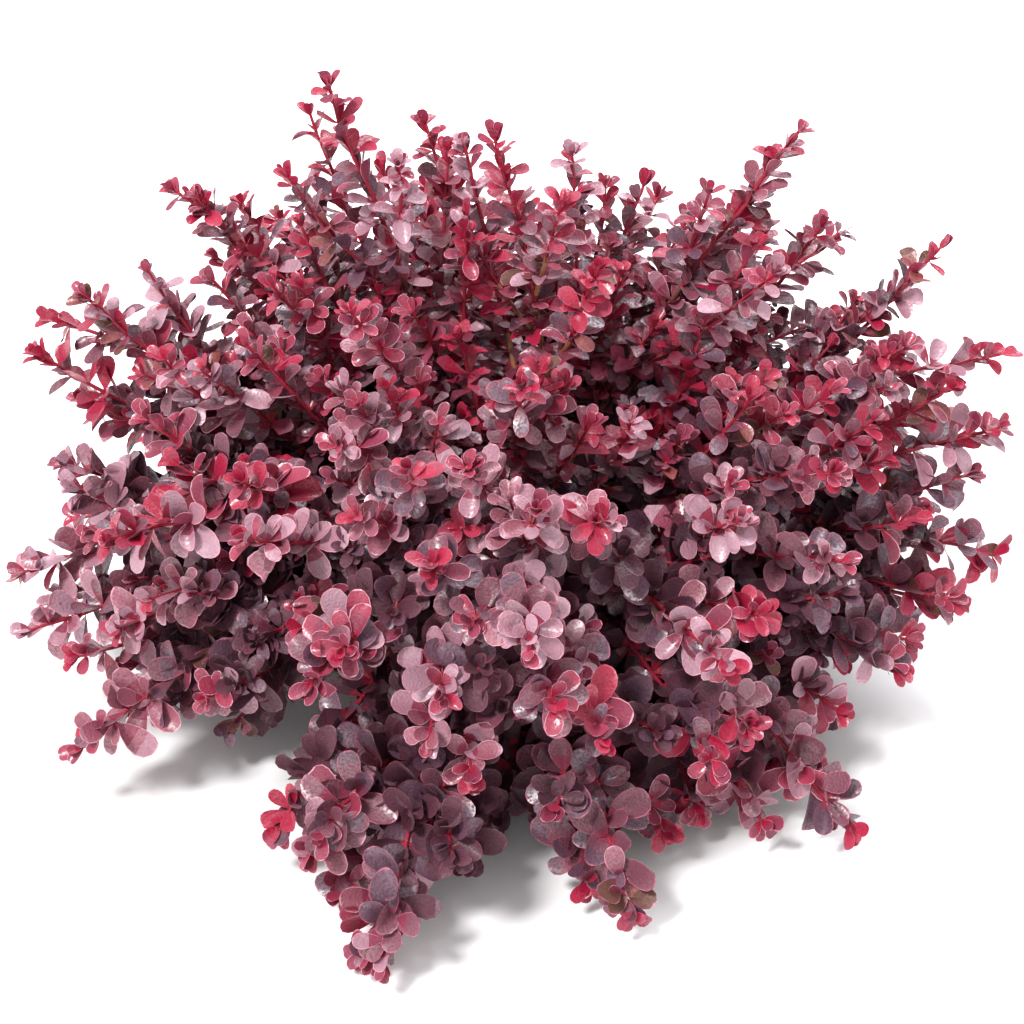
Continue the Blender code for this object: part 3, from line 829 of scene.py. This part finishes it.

# %% [markdown]
# ## Growing the leaves
# Rosettes are set along each shoot from where it is bare to its tip, and a bud of three to six
# small leaves closes it. They crowd towards the tip and are smaller there. A spine grows under
# each rosette, on the other side of the shoot.

# %% Keep a rosette's leaves
# Painted shade: a rosette's shade is its depth, more in a hollow and near the ground. Painted light:
# high shoots take less of it, so the top of the crown is painted lighter.
HOLLOW_SHADE = (0.02, 0.085, 0.085)
HIGH_LIGHT = 0.125
LOW_SHADE = 0.026
LOW_BELOW = 0.085
AGE_PACE = (0.45, 1.20)
AGED_BY_RANK = (0, 0.008, 0.030)
ODD_LEAF = 0.20
SIMPLE_BELOW = 0.075
LEAF_CLEARANCE = 0.001
leaves = {"piece": [], "root": [], "along": [], "normal": [], "length": [], "tone": []}


def add_leaves(found, shoot, from_tip, chance):
    """Keeps a rosette's leaves above ground, each with its piece and tone."""
    root = found[0][0]
    lush = family_lushness[shoot["family"]]
    depth = depth_of(root)
    # Shade painted into the colours: deep, hollow and low rosettes draw darker tones.
    shade = depth + HOLLOW_SHADE[shoot["rank"]] * hollow_at(root) - HIGH_LIGHT * (1 - lush)
    shade += LOW_SHADE * max(0, 1 - root.z / LOW_BELOW)
    pace = AGE_PACE[0] + (AGE_PACE[1] - AGE_PACE[0]) * lush
    age = (from_tip + AGED_BY_RANK[shoot["rank"]]) * pace
    tones = tones_for(shoot["mood"], age, shade)
    tone = drawn(tones, chance)
    for root, along, normal, length in found:
        if (root + along * length).z < LEAF_CLEARANCE:
            continue
        leaves["piece"].append("inside" if depth > SIMPLE_BELOW else shoot["ring"])
        leaves["root"].append(root)
        leaves["along"].append(along)
        leaves["normal"].append(normal)
        leaves["length"].append(length)
        leaves["tone"].append(drawn(tones, chance) if chance.random() < ODD_LEAF else tone)


print("each leaf keeps its", ", ".join(leaves))

# %% Clothe the shoots
BARE_START = (0.10, 0.09, 0.10)
BARE_CORE = 0.10
LAST_ROSETTE = 0.004
ROSETTE_OPENING = 60
SIDEWAYS, FORWARDS, UPWARDS = 0.62, 0.68, 0.22
SPINE_FORWARDS = 0.3
TIP_SINK = 0.0015
TIP_SIZES = (0.75, 1.1)
TIP_BUDS = ((3, 20), (4, 26), (5, 34), (6, 44), (6, 50))
spines = []


def clothe(shoot, chance):
    """Sets rosettes along one shoot, from where it is bare to its tip."""
    habit = habit_of(family_lushness[shoot["family"]])
    total = shoot["length"]
    distance = total * BARE_START[shoot["rank"]]
    roll = chance.uniform(0, 360)
    while distance < total - LAST_ROSETTE:
        from_tip = total - distance
        root, heading = point_along(shoot, distance)
        grown = grown_share(from_tip, habit["grown_after"])
        size = habit["tip"] + (habit["grown"] - habit["tip"]) * grown
        square = outward(heading, roll)
        axis = (square * SIDEWAYS + heading * FORWARDS + UP * UPWARDS).normalized()
        if root.length > BARE_CORE:
            count = chance.choice(habit["counts"])
            found = rosette(root, axis, count, size, ROSETTE_OPENING, chance)
            add_leaves(found, shoot, from_tip, chance)
            spines.append((root, (heading * SPINE_FORWARDS - square).normalized()))
        distance += habit["spacing"] - habit["closer"] * (1 - grown)
        roll += GOLDEN_ANGLE
    root, heading = point_along(shoot, total)
    count, opening = chance.choice(TIP_BUDS)
    size = habit["tip"] * chance.uniform(*TIP_SIZES)
    crown = rosette(root - heading * TIP_SINK, heading, count, size, opening, chance)
    add_leaves(crown, shoot, 0, chance)


for number, shoot in enumerate(shoots):
    clothe(shoot, random.Random(SEED * 1000 + number))
print(len(leaves["root"]), "leaves and", len(spines), "spines")

# %% [markdown]
# ## Joining the leaves
# Thousands of leaves are too many for objects of their own, so the flat leaf is copied by array
# arithmetic. Each copy gets its own fold along the middle, cup, droop, twist and width, is turned
# to its place, and all are joined into a few meshes.

# %% One mesh from arrays
def joined_mesh(name, points, faces, materials, slots):
    """One mesh from arrays of points and of faces with equally many corners."""
    mesh = bpy.data.meshes.new(name)
    mesh.vertices.add(len(points))
    mesh.vertices.foreach_set("co", points.ravel())
    mesh.loops.add(faces.size)
    mesh.loops.foreach_set("vertex_index", faces.ravel())
    mesh.polygons.add(len(faces))
    starts = np.arange(0, faces.size, faces.shape[1], dtype=np.int32)
    mesh.polygons.foreach_set("loop_start", starts)
    mesh.polygons.foreach_set("material_index", slots.astype(np.int32))
    for material in materials:
        mesh.materials.append(material)
    mesh.update(calc_edges=True)
    mesh.shade_smooth()
    piece = bpy.data.objects.new(name, mesh)
    bpy.context.scene.collection.objects.link(piece)
    return piece


print("a leaf's grid has", len(outer_leaf["points"]), "points")

# %% Shape and place the leaves
LEAF_LOWEST = 0.0006
LEAF_SLIMNESS = 0.575
LEAF_WIDTHS_CHANCE = (0.88, 1.10)
FOLDS = (0.00, 0.38)
CUPS = (-0.3, 1.9)
DROOPS = (-0.22, 0.32)
TWISTS = (-0.35, 0.35)
shaping = np.random.default_rng(SEED)


def shaped_leaves(chosen, flat):
    """The points of the chosen leaves, folded, cupped, drooped, twisted and set in place."""
    along, normal, root = (np.array([leaves[key][i][:] for i in chosen], np.float32)[:, None]
                           for key in ("along", "normal", "root"))
    length = np.array([leaves["length"][i] for i in chosen], np.float32)[:, None, None]
    across = np.cross(normal, along)
    width, fold, cup, droop, twist = (
        shaping.uniform(*limits, (len(chosen), 1))
        for limits in (LEAF_WIDTHS_CHANCE, FOLDS, CUPS, DROOPS, TWISTS))
    x = flat["points"][None, :, 0]
    y = flat["points"][None, :, 1] * (LEAF_SLIMNESS * width)
    z = fold * np.abs(y) + cup * y * y + twist * x * y - droop * x * x
    shape = x[:, :, None] * along + y[:, :, None] * across + z[:, :, None] * normal
    placed = (root + shape * length).reshape(-1, 3)
    placed[:, 2] = np.maximum(placed[:, 2], LEAF_LOWEST)
    return placed.astype(np.float32)


print("a leaf is", LEAF_SLIMNESS, "times as wide as long")

# %% [markdown]
# ## A colour for each face
# Each face takes the colour of its part of the leaf: stalk, base, blade, end or margin. How far the
# base's colour reaches up the blade, and where the end's begins, is drawn anew for each leaf.
# A piece stays under 200,000 triangles, so a full ring may be split in two.

# %% Tones to faces
BASE_UNTIL = 3
END_FROM = 2
NO_END = 4


def tone_slots(chosen, flat):
    """Each face's material. Along the blade come the base's colour, its own and its end's."""
    parts = [("stalk", base, margin, tone, end)
             for tone, (base, margin, end) in LEAF_PARTS.items()]
    table = np.array([[MATERIAL_ORDER.index(part) for part in names] for names in parts])
    order = {tone: i for i, tone in enumerate(LEAF_PARTS)}
    tones = np.array([order[leaves["tone"][i]] for i in chosen])
    columns = flat["columns"]
    base_until = shaping.integers(0, BASE_UNTIL, (len(chosen), 1))
    end_from = shaping.integers(END_FROM, columns.max() + NO_END, (len(chosen), 1))
    blade = flat["roles"] == BLADE_ROLE
    roles = flat["roles"] + (blade & (columns >= end_from))
    roles = np.where(blade & (columns <= base_until), BASE_ROLE, roles)
    return table[tones[:, None], roles].ravel()


print(len(LEAF_PARTS), "tones of leaf, with five parts each")

# %% Join the leaf pieces
MOST_OUTER = 3500
MOST_INNER = 12000


def make_leaf_pieces(kind, flat, most):
    """Joins the leaves of one kind into as few pieces as the limit on each allows."""
    chosen = [i for i, piece in enumerate(leaves["piece"]) if piece == kind]
    count = math.ceil(len(chosen) / most)
    materials = [leaf_materials[name] for name in MATERIAL_ORDER]
    made = []
    for part in range(count):
        some = chosen[len(chosen) * part // count:len(chosen) * (part + 1) // count]
        steps = np.arange(len(some), dtype=np.int32)[:, None, None] * len(flat["points"])
        faces = (flat["faces"][None] + steps).reshape(-1, 4)
        points = shaped_leaves(some, flat)
        slots = tone_slots(some, flat)
        piece = joined_mesh(f"leaves_{kind}_{part + 1}", points, faces, materials, slots)
        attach(piece, "root")
        made.append(piece)
        print(piece.name, len(some), "leaves,", len(faces) * 2, "triangles")
    return made


leaf_pieces = {ring: make_leaf_pieces(ring, outer_leaf, MOST_OUTER) for ring in RINGS}
leaf_pieces["inside"] = make_leaf_pieces("inside", inner_leaf, MOST_INNER)
for ring in RINGS:
    sprays = ["spray_" + leader["place"] for leader in leaders if leader["ring"] == ring]
    for piece in leaf_pieces[ring]:
        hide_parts(*sprays)

# %% [markdown]
# ## Shoots
# A young shoot is a slim red tube that thins to its tip. Curves draw such tubes well: a spline has
# a radius at every point and a material of its own. Each shoot is two splines, an older base and
# a bright red end, and here and there a whole family has the straw colour of ripe wood.

# %% Cane colours
CANES = {"cane_brown": (96, 54, 46), "cane_red": (116, 38, 46), "cane_bright": (146, 26, 50),
         "cane_straw": (164, 116, 82)}
BROWN, RED, BRIGHT, STRAW = range(4)
cane_materials = [leaf_material(name, colour, **FINISHES["matt"]) for name, colour in CANES.items()]
print(len(cane_materials), "cane materials")

# %% Tubes from curves
def mesh_from_curve(path, name):
    """Turns a curve into a finished mesh piece."""
    holder = bpy.data.objects.new(name, path)
    bpy.context.scene.collection.objects.link(holder)
    graph = bpy.context.evaluated_depsgraph_get()
    mesh = bpy.data.meshes.new_from_object(holder.evaluated_get(graph))
    bpy.data.objects.remove(holder, do_unlink=True)
    mesh.name = name
    mesh.shade_smooth()
    piece = bpy.data.objects.new(name, mesh)
    bpy.context.scene.collection.objects.link(piece)
    return piece


def tube_path(name, materials, resolution):
    """An empty curve that draws its splines as round tubes, with their points' radii in metres."""
    path = bpy.data.curves.new(name, "CURVE")
    path.dimensions = "3D"
    path.bevel_depth = 1
    path.bevel_resolution = resolution
    path.use_fill_caps = True
    for material in materials:
        path.materials.append(material)
    return path


def add_spline(path, points, radii, slot):
    spline = path.splines.new("POLY")
    spline.points.add(len(points) - 1)
    spline.material_index = slot
    for knot, point, radius in zip(spline.points, points, radii):
        knot.co = (*point, 1)
        knot.radius = radius


def tapered(thick, thin, count):
    """Evenly falling radii, one for each point of a spline."""
    return [thick + (thin - thick) * i / (count - 1) for i in range(count)]


def triangle_count(piece):
    return sum(len(face.vertices) - 2 for face in piece.data.polygons)


print("a tube that thins in three steps:", tapered(4, 2, 3))

# %% The shoots
SHOOT_RADII = ((0.0022, 0.0011), (0.0017, 0.0009), (0.0012, 0.0007))
RED_FROM = 0.45
STRAW_EVERY = 4


def make_shoots():
    """Each shoot as two splines: an older base and a brighter end."""
    path = tube_path("shoots", cane_materials, 1)
    for shoot in shoots:
        line = shoot["line"]
        radii = tapered(*SHOOT_RADII[shoot["rank"]], len(line))
        turn = max(1, int(len(line) * RED_FROM))
        base = BROWN if shoot["rank"] == 0 else RED
        if shoot["family"] % STRAW_EVERY == 0:
            base = STRAW
        add_spline(path, line[:turn + 1], radii[:turn + 1], base)
        add_spline(path, line[turn:], radii[turn:], BRIGHT)
    return mesh_from_curve(path, "shoots")


shoot_piece = make_shoots()
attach(shoot_piece, "root")
print("shoots have", triangle_count(shoot_piece), "triangles")

# %% [markdown]
# ## Spines
# Below each rosette stands one thin spine, the mark of this kind. A three-sided cone is enough.
# One is made with bmesh, and copied to all its places by arrays as the leaves are.

# %% Spines
SPINE_LENGTH = 0.0085
SPINE_RADIUS = 0.00035
SPINE_COLOUR = (180, 116, 86)
spine_material = leaf_material("spine", SPINE_COLOUR, **FINISHES["matt"])


def make_spines():
    shape = bmesh.new()
    bmesh.ops.create_cone(shape, cap_ends=True, segments=3, radius1=SPINE_RADIUS, radius2=0,
                          depth=SPINE_LENGTH)
    bmesh.ops.translate(shape, verts=shape.verts, vec=(0, 0, SPINE_LENGTH / 2))
    bmesh.ops.triangulate(shape, faces=shape.faces)
    shape.verts.index_update()
    points = np.array([point.co[:] for point in shape.verts], np.float32)
    faces = np.array([[point.index for point in face.verts] for face in shape.faces], np.int32)
    shape.free()
    turns = np.array([along.to_track_quat("Z", "Y").to_matrix() for _, along in spines], np.float32)
    roots = np.array([root[:] for root, _ in spines], np.float32)
    placed = np.einsum("nij,vj->nvi", turns, points) + roots[:, None]
    steps = np.arange(len(spines), dtype=np.int32)[:, None, None] * len(points)
    many = (faces[None] + steps).reshape(-1, 3)
    return joined_mesh("spines", placed.reshape(-1, 3), many, [spine_material], np.zeros(len(many)))


spine_piece = make_spines()
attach(spine_piece, "root")
print(len(spines), "spines")

# %% [markdown]
# ## Bark
# Old wood is grey-brown, furrowed along its length and a little scaly. The larger furrows are real
# relief in the meshes of the next two steps. The finer ones and the colour follow one noise here,
# with dark hollows and paler ridges.

# %% Bark material
FIBRE_SCALE = 160
FIBRE_DETAIL = 5
HOLLOW_UNTIL, RIDGE_FROM = 0.32, 0.68
BARK_RELIEF = 0.5
BARK_DEPTH = 0.0006
BARK_ROUGHNESS = 0.85


def make_bark(name, ridge, hollow):
    made = bpy.data.materials.new(name)
    made.use_nodes = True
    nodes, links = made.node_tree.nodes, made.node_tree.links
    shader = nodes["Principled BSDF"]
    place = nodes.new("ShaderNodeTexCoord")
    fibres = nodes.new("ShaderNodeTexNoise")
    fibres.inputs["Scale"].default_value = FIBRE_SCALE
    fibres.inputs["Detail"].default_value = FIBRE_DETAIL
    ramp = nodes.new("ShaderNodeValToRGB")
    ramp.color_ramp.elements[0].position = HOLLOW_UNTIL
    ramp.color_ramp.elements[0].color = paint(*hollow)
    ramp.color_ramp.elements[1].position = RIDGE_FROM
    ramp.color_ramp.elements[1].color = paint(*ridge)
    bump = nodes.new("ShaderNodeBump")
    bump.inputs["Strength"].default_value = BARK_RELIEF
    bump.inputs["Distance"].default_value = BARK_DEPTH
    links.new(place.outputs["Object"], fibres.inputs["Vector"])
    links.new(fibres.outputs["Fac"], ramp.inputs["Fac"])
    links.new(fibres.outputs["Fac"], bump.inputs["Height"])
    links.new(ramp.outputs["Color"], shader.inputs["Base Color"])
    links.new(bump.outputs["Normal"], shader.inputs["Normal"])
    shader.inputs["Roughness"].default_value = BARK_ROUGHNESS
    return made


stool_bark = make_bark("stool_bark", (138, 112, 92), (58, 42, 36))
bough_bark = make_bark("bough_bark", (128, 78, 66), (64, 36, 34))
print("bark materials made")

# %% [markdown]
# ## The stool
# All the boughs spring from one short woody root crown. Its outline is drawn once and spun round,
# then each point is moved: out into five lobes at the foot, where roots begin, and in and out along
# its normal for furrows and scales. The foot stays flat on the ground.

# %% The stool
STOOL_SIDES = 72
LOBES = 5
LOBE_SHARE = 0.12
LOBE_BELOW = 0.019
FURROWS_ROUND, FURROWS_UP = 6, 45
FURROW_DEPTH = 0.0016
SCALES = 320
SCALE_DEPTH = 0.0005
FLAT_BELOW = 0.0005
MANY_POINTS = 10000
STOOL_OUTLINE = (
    (0.0, 0.0), (0.020, 0.0), (0.034, 0.0), (0.0325, 0.0025), (0.0305, 0.005), (0.0285, 0.0085),
    (0.0262, 0.0125), (0.0245, 0.016), (0.0240, 0.021), (0.0250, 0.027), (0.0272, 0.034),
    (0.0290, 0.041), (0.0298, 0.049), (0.0292, 0.056), (0.0275, 0.063), (0.0240, 0.069),
    (0.0190, 0.074), (0.0120, 0.0775), (0.0060, 0.079), (0.0, 0.0795))


def face_order(face):
    """Sorts faces by their first two points. A spin leaves them in another order each run."""
    return face.verts[0].index * MANY_POINTS + face.verts[1].index


def make_stool():
    shape = bmesh.new()
    points = [shape.verts.new((radius, 0, height)) for radius, height in STOOL_OUTLINE]
    edges = [shape.edges.new(pair) for pair in zip(points, points[1:])]
    bmesh.ops.spin(shape, geom=points + edges, cent=(0, 0, 0), axis=(0, 0, 1),
                   angle=math.tau, steps=STOOL_SIDES, use_merge=True)
    bmesh.ops.remove_doubles(shape, verts=shape.verts, dist=0.00005)
    bmesh.ops.recalc_face_normals(shape, faces=shape.faces)
    shape.normal_update()
    for point in shape.verts:
        if point.co.z < FLAT_BELOW:
            continue
        turn = math.atan2(point.co.y, point.co.x)
        lobe = math.cos(LOBES * turn) * LOBE_SHARE * max(0, 1 - point.co.z / LOBE_BELOW)
        level = (math.cos(turn) * FURROWS_ROUND, math.sin(turn) * FURROWS_ROUND)
        furrow = noise.noise(Vector((*level, point.co.z * FURROWS_UP)))
        scale = noise.noise(point.co * SCALES)
        flat = Vector((point.co.x, point.co.y, 0))
        point.co += flat * lobe + point.normal * (FURROW_DEPTH * furrow + SCALE_DEPTH * scale)
        point.co.z = max(point.co.z, 0.0)
    shape.verts.index_update()
    shape.faces.sort(key=face_order)
    mesh = bpy.data.meshes.new("stool_wood")
    shape.to_mesh(mesh)
    shape.free()
    mesh.shade_smooth()
    mesh.materials.append(stool_bark)
    piece = bpy.data.objects.new("stool_wood", mesh)
    bpy.context.scene.collection.objects.link(piece)
    return piece


stool_piece = make_stool()
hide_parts("stool")
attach(stool_piece, "root")
print("stool has", len(stool_piece.data.polygons), "faces")

# %% [markdown]
# ## The boughs
# A bough is the older, thicker part of a leading shoot, up to where its foliage starts. They are
# tapering tubes too, with their feet sunk into the stool and fine furrows along them. The laterals
# get a short piece of old wood where they fork.

# %% The boughs
BOUGH_FOOT = {"skirt": 0.0034, "flank": 0.0034, "shoulder": 0.0030, "crest": 0.0030}
BOUGH_TIP = 0.0019
BOUGH_KNOTS = 22
BOUGH_UNTIL = FOLIAGE_FROM * 1.02
SUNK_FOOT = 0.006
LATERAL_WOOD = (0.0019, 0.0016)
LATERAL_WOOD_STEP = 0.02
LATERAL_WOOD_KNOTS = 6
BOUGH_FURROWS = (420, 420, 120)
BOUGH_FURROW_DEPTH = 0.0004


def make_boughs():
    path = tube_path("bough_wood", [bough_bark], 3)
    for leader in leaders:
        arc = leader["arc"]
        points = [bend(*arc, BOUGH_UNTIL * i / BOUGH_KNOTS) for i in range(BOUGH_KNOTS + 1)]
        points.insert(0, points[0] - (points[1] - points[0]).normalized() * SUNK_FOOT)
        add_spline(path, points, tapered(BOUGH_FOOT[leader["ring"]], BOUGH_TIP, len(points)), 0)
    for lateral in laterals:
        points = [bend(*lateral["arc"], LATERAL_WOOD_STEP * i) for i in range(LATERAL_WOOD_KNOTS)]
        add_spline(path, points, tapered(*LATERAL_WOOD, len(points)), 0)
    piece = mesh_from_curve(path, "bough_wood")
    for point in piece.data.vertices:
        furrow = noise.noise(Vector([a * b for a, b in zip(point.co, BOUGH_FURROWS)]))
        point.co += point.normal * BOUGH_FURROW_DEPTH * furrow
    return piece


bough_piece = make_boughs()
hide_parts(*["bough_" + leader["place"] for leader in leaders])
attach(bough_piece, "root")
print("boughs have", triangle_count(bough_piece), "triangles")

# %% [markdown]
# ## Floor
# A studio setting keeps the eye on the shrub. The pale floor is so large that its edge is far off
# in every view, and it lies a hair below the ground, so that no leaf is cut by it.

# %% Floor
FLOOR_REACH = 30
FLOOR_DROP = 0.0005
FLOOR_COLOUR = (0.92, 0.92, 0.92, 1)
FLOOR_ROUGHNESS = 0.9


def make_floor():
    shape = bmesh.new()
    bmesh.ops.create_grid(shape, x_segments=1, y_segments=1, size=FLOOR_REACH)
    mesh = bpy.data.meshes.new("floor")
    shape.to_mesh(mesh)
    shape.free()
    pale = bpy.data.materials.new("pale_floor")
    pale.use_nodes = True
    shader = pale.node_tree.nodes["Principled BSDF"]
    shader.inputs["Base Color"].default_value = FLOOR_COLOUR
    shader.inputs["Roughness"].default_value = FLOOR_ROUGHNESS
    mesh.materials.append(pale)
    ground = bpy.data.objects.new("floor", mesh)
    ground.location.z = -FLOOR_DROP
    bpy.context.scene.collection.objects.link(ground)


make_floor()
print("floor reaches", FLOOR_REACH, "m each way")

# %% [markdown]
# ## Light
# The photo was taken in soft daylight. Two wide suns stand for it, a brighter one from the front
# left and a very soft one from behind, and an even white surround fills the shadows. Each light is
# given by where it comes from, its strength, its width in degrees and its tint.

# %% Lights
LIGHTS = {
    "key": ((-0.50, -0.42, 0.90), 3.55, 14, (1, 0.98, 0.98)),
    "sky": ((0.20, 0.60, 0.95), 3.2, 44, (0.95, 0.95, 1)),
}
SURROUND = 0.95


def make_lights():
    for name, (source, strength, softness, tint) in LIGHTS.items():
        lamp = bpy.data.lights.new(name, "SUN")
        lamp.energy = strength
        lamp.color = tint
        lamp.angle = math.radians(softness)
        holder = bpy.data.objects.new(name, lamp)
        holder.rotation_euler = Vector(source).to_track_quat("Z", "Y").to_euler()
        bpy.context.scene.collection.objects.link(holder)
    world = bpy.context.scene.world or bpy.data.worlds.new("studio")
    bpy.context.scene.world = world
    world.use_nodes = True
    surround = world.node_tree.nodes["Background"]
    surround.inputs["Color"].default_value = (1, 1, 1, 1)
    surround.inputs["Strength"].default_value = SURROUND


make_lights()
bpy.context.scene.view_settings.view_transform = "Standard"
print(len(LIGHTS), "lights and a surround of", SURROUND)
